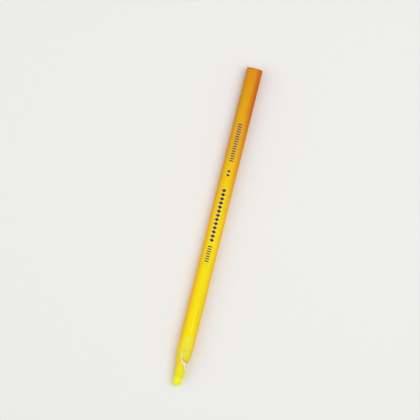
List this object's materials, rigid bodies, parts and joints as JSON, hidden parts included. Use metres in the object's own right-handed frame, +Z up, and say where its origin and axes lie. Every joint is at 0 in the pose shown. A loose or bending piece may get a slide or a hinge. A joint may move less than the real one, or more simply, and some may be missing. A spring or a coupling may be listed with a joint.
{
  "type": "china marker",
  "caption": "Round peel-off china marker: a wax core and pull string in a wound paper wrapper of tear-off bands, with a slit front band and torn flap at the writing end.",
  "frame": {"origin": "on the surface that the marker lies on, under the middle of its length", "axes": "+X along the barrel towards the writing tip, +Z up, with the slit and flap on top"},
  "size_m": [0.177, 0.0088, 0.0088],
  "materials": {
    "lacquered_paper": "gloss lacquer",
    "bare_paper": "matte",
    "wax": "waxy satin",
    "cotton_string": "twisted, undyed"
  },
  "bodies": {
    "barrel": {"wax_core": "wax", "pull_string": "cotton_string", "slit_band": "bare_paper", "peel_band_01": "lacquered_paper", "peel_band_02": "lacquered_paper", "peel_band_03": "lacquered_paper", "peel_band_04": "lacquered_paper", "peel_band_05": "lacquered_paper", "peel_band_06": "lacquered_paper", "peel_band_07": "lacquered_paper", "peel_band_08": "lacquered_paper", "peel_band_09": "lacquered_paper", "peel_band_10": "lacquered_paper", "peel_band_11": "lacquered_paper", "peel_band_12": "lacquered_paper", "peel_band_13": "lacquered_paper", "peel_band_14": "lacquered_paper", "peel_band_15": "lacquered_paper", "peel_band_16": "lacquered_paper", "peel_band_17": "lacquered_paper", "peel_band_18": "lacquered_paper", "peel_band_19": "lacquered_paper", "peel_band_20": "bare_paper"},
    "flap": {"peel_flap": "bare_paper"},
    "tail": {"string_tail": "cotton_string"}
  },
  "joints": [
    {"name": "flap_lift", "type": "hinge", "parent": "barrel", "child": "flap", "pos_m": [0.07189, 0.00388, 0.00647], "axis": [-1, 0, 0], "range_deg": [0, 80]},
    {"name": "string_swing", "type": "hinge", "parent": "barrel", "child": "tail", "pos_m": [0.0685, -0.00078, 0.00805], "axis": [0, -1, 0], "range_deg": [0, 90]}
  ]
}
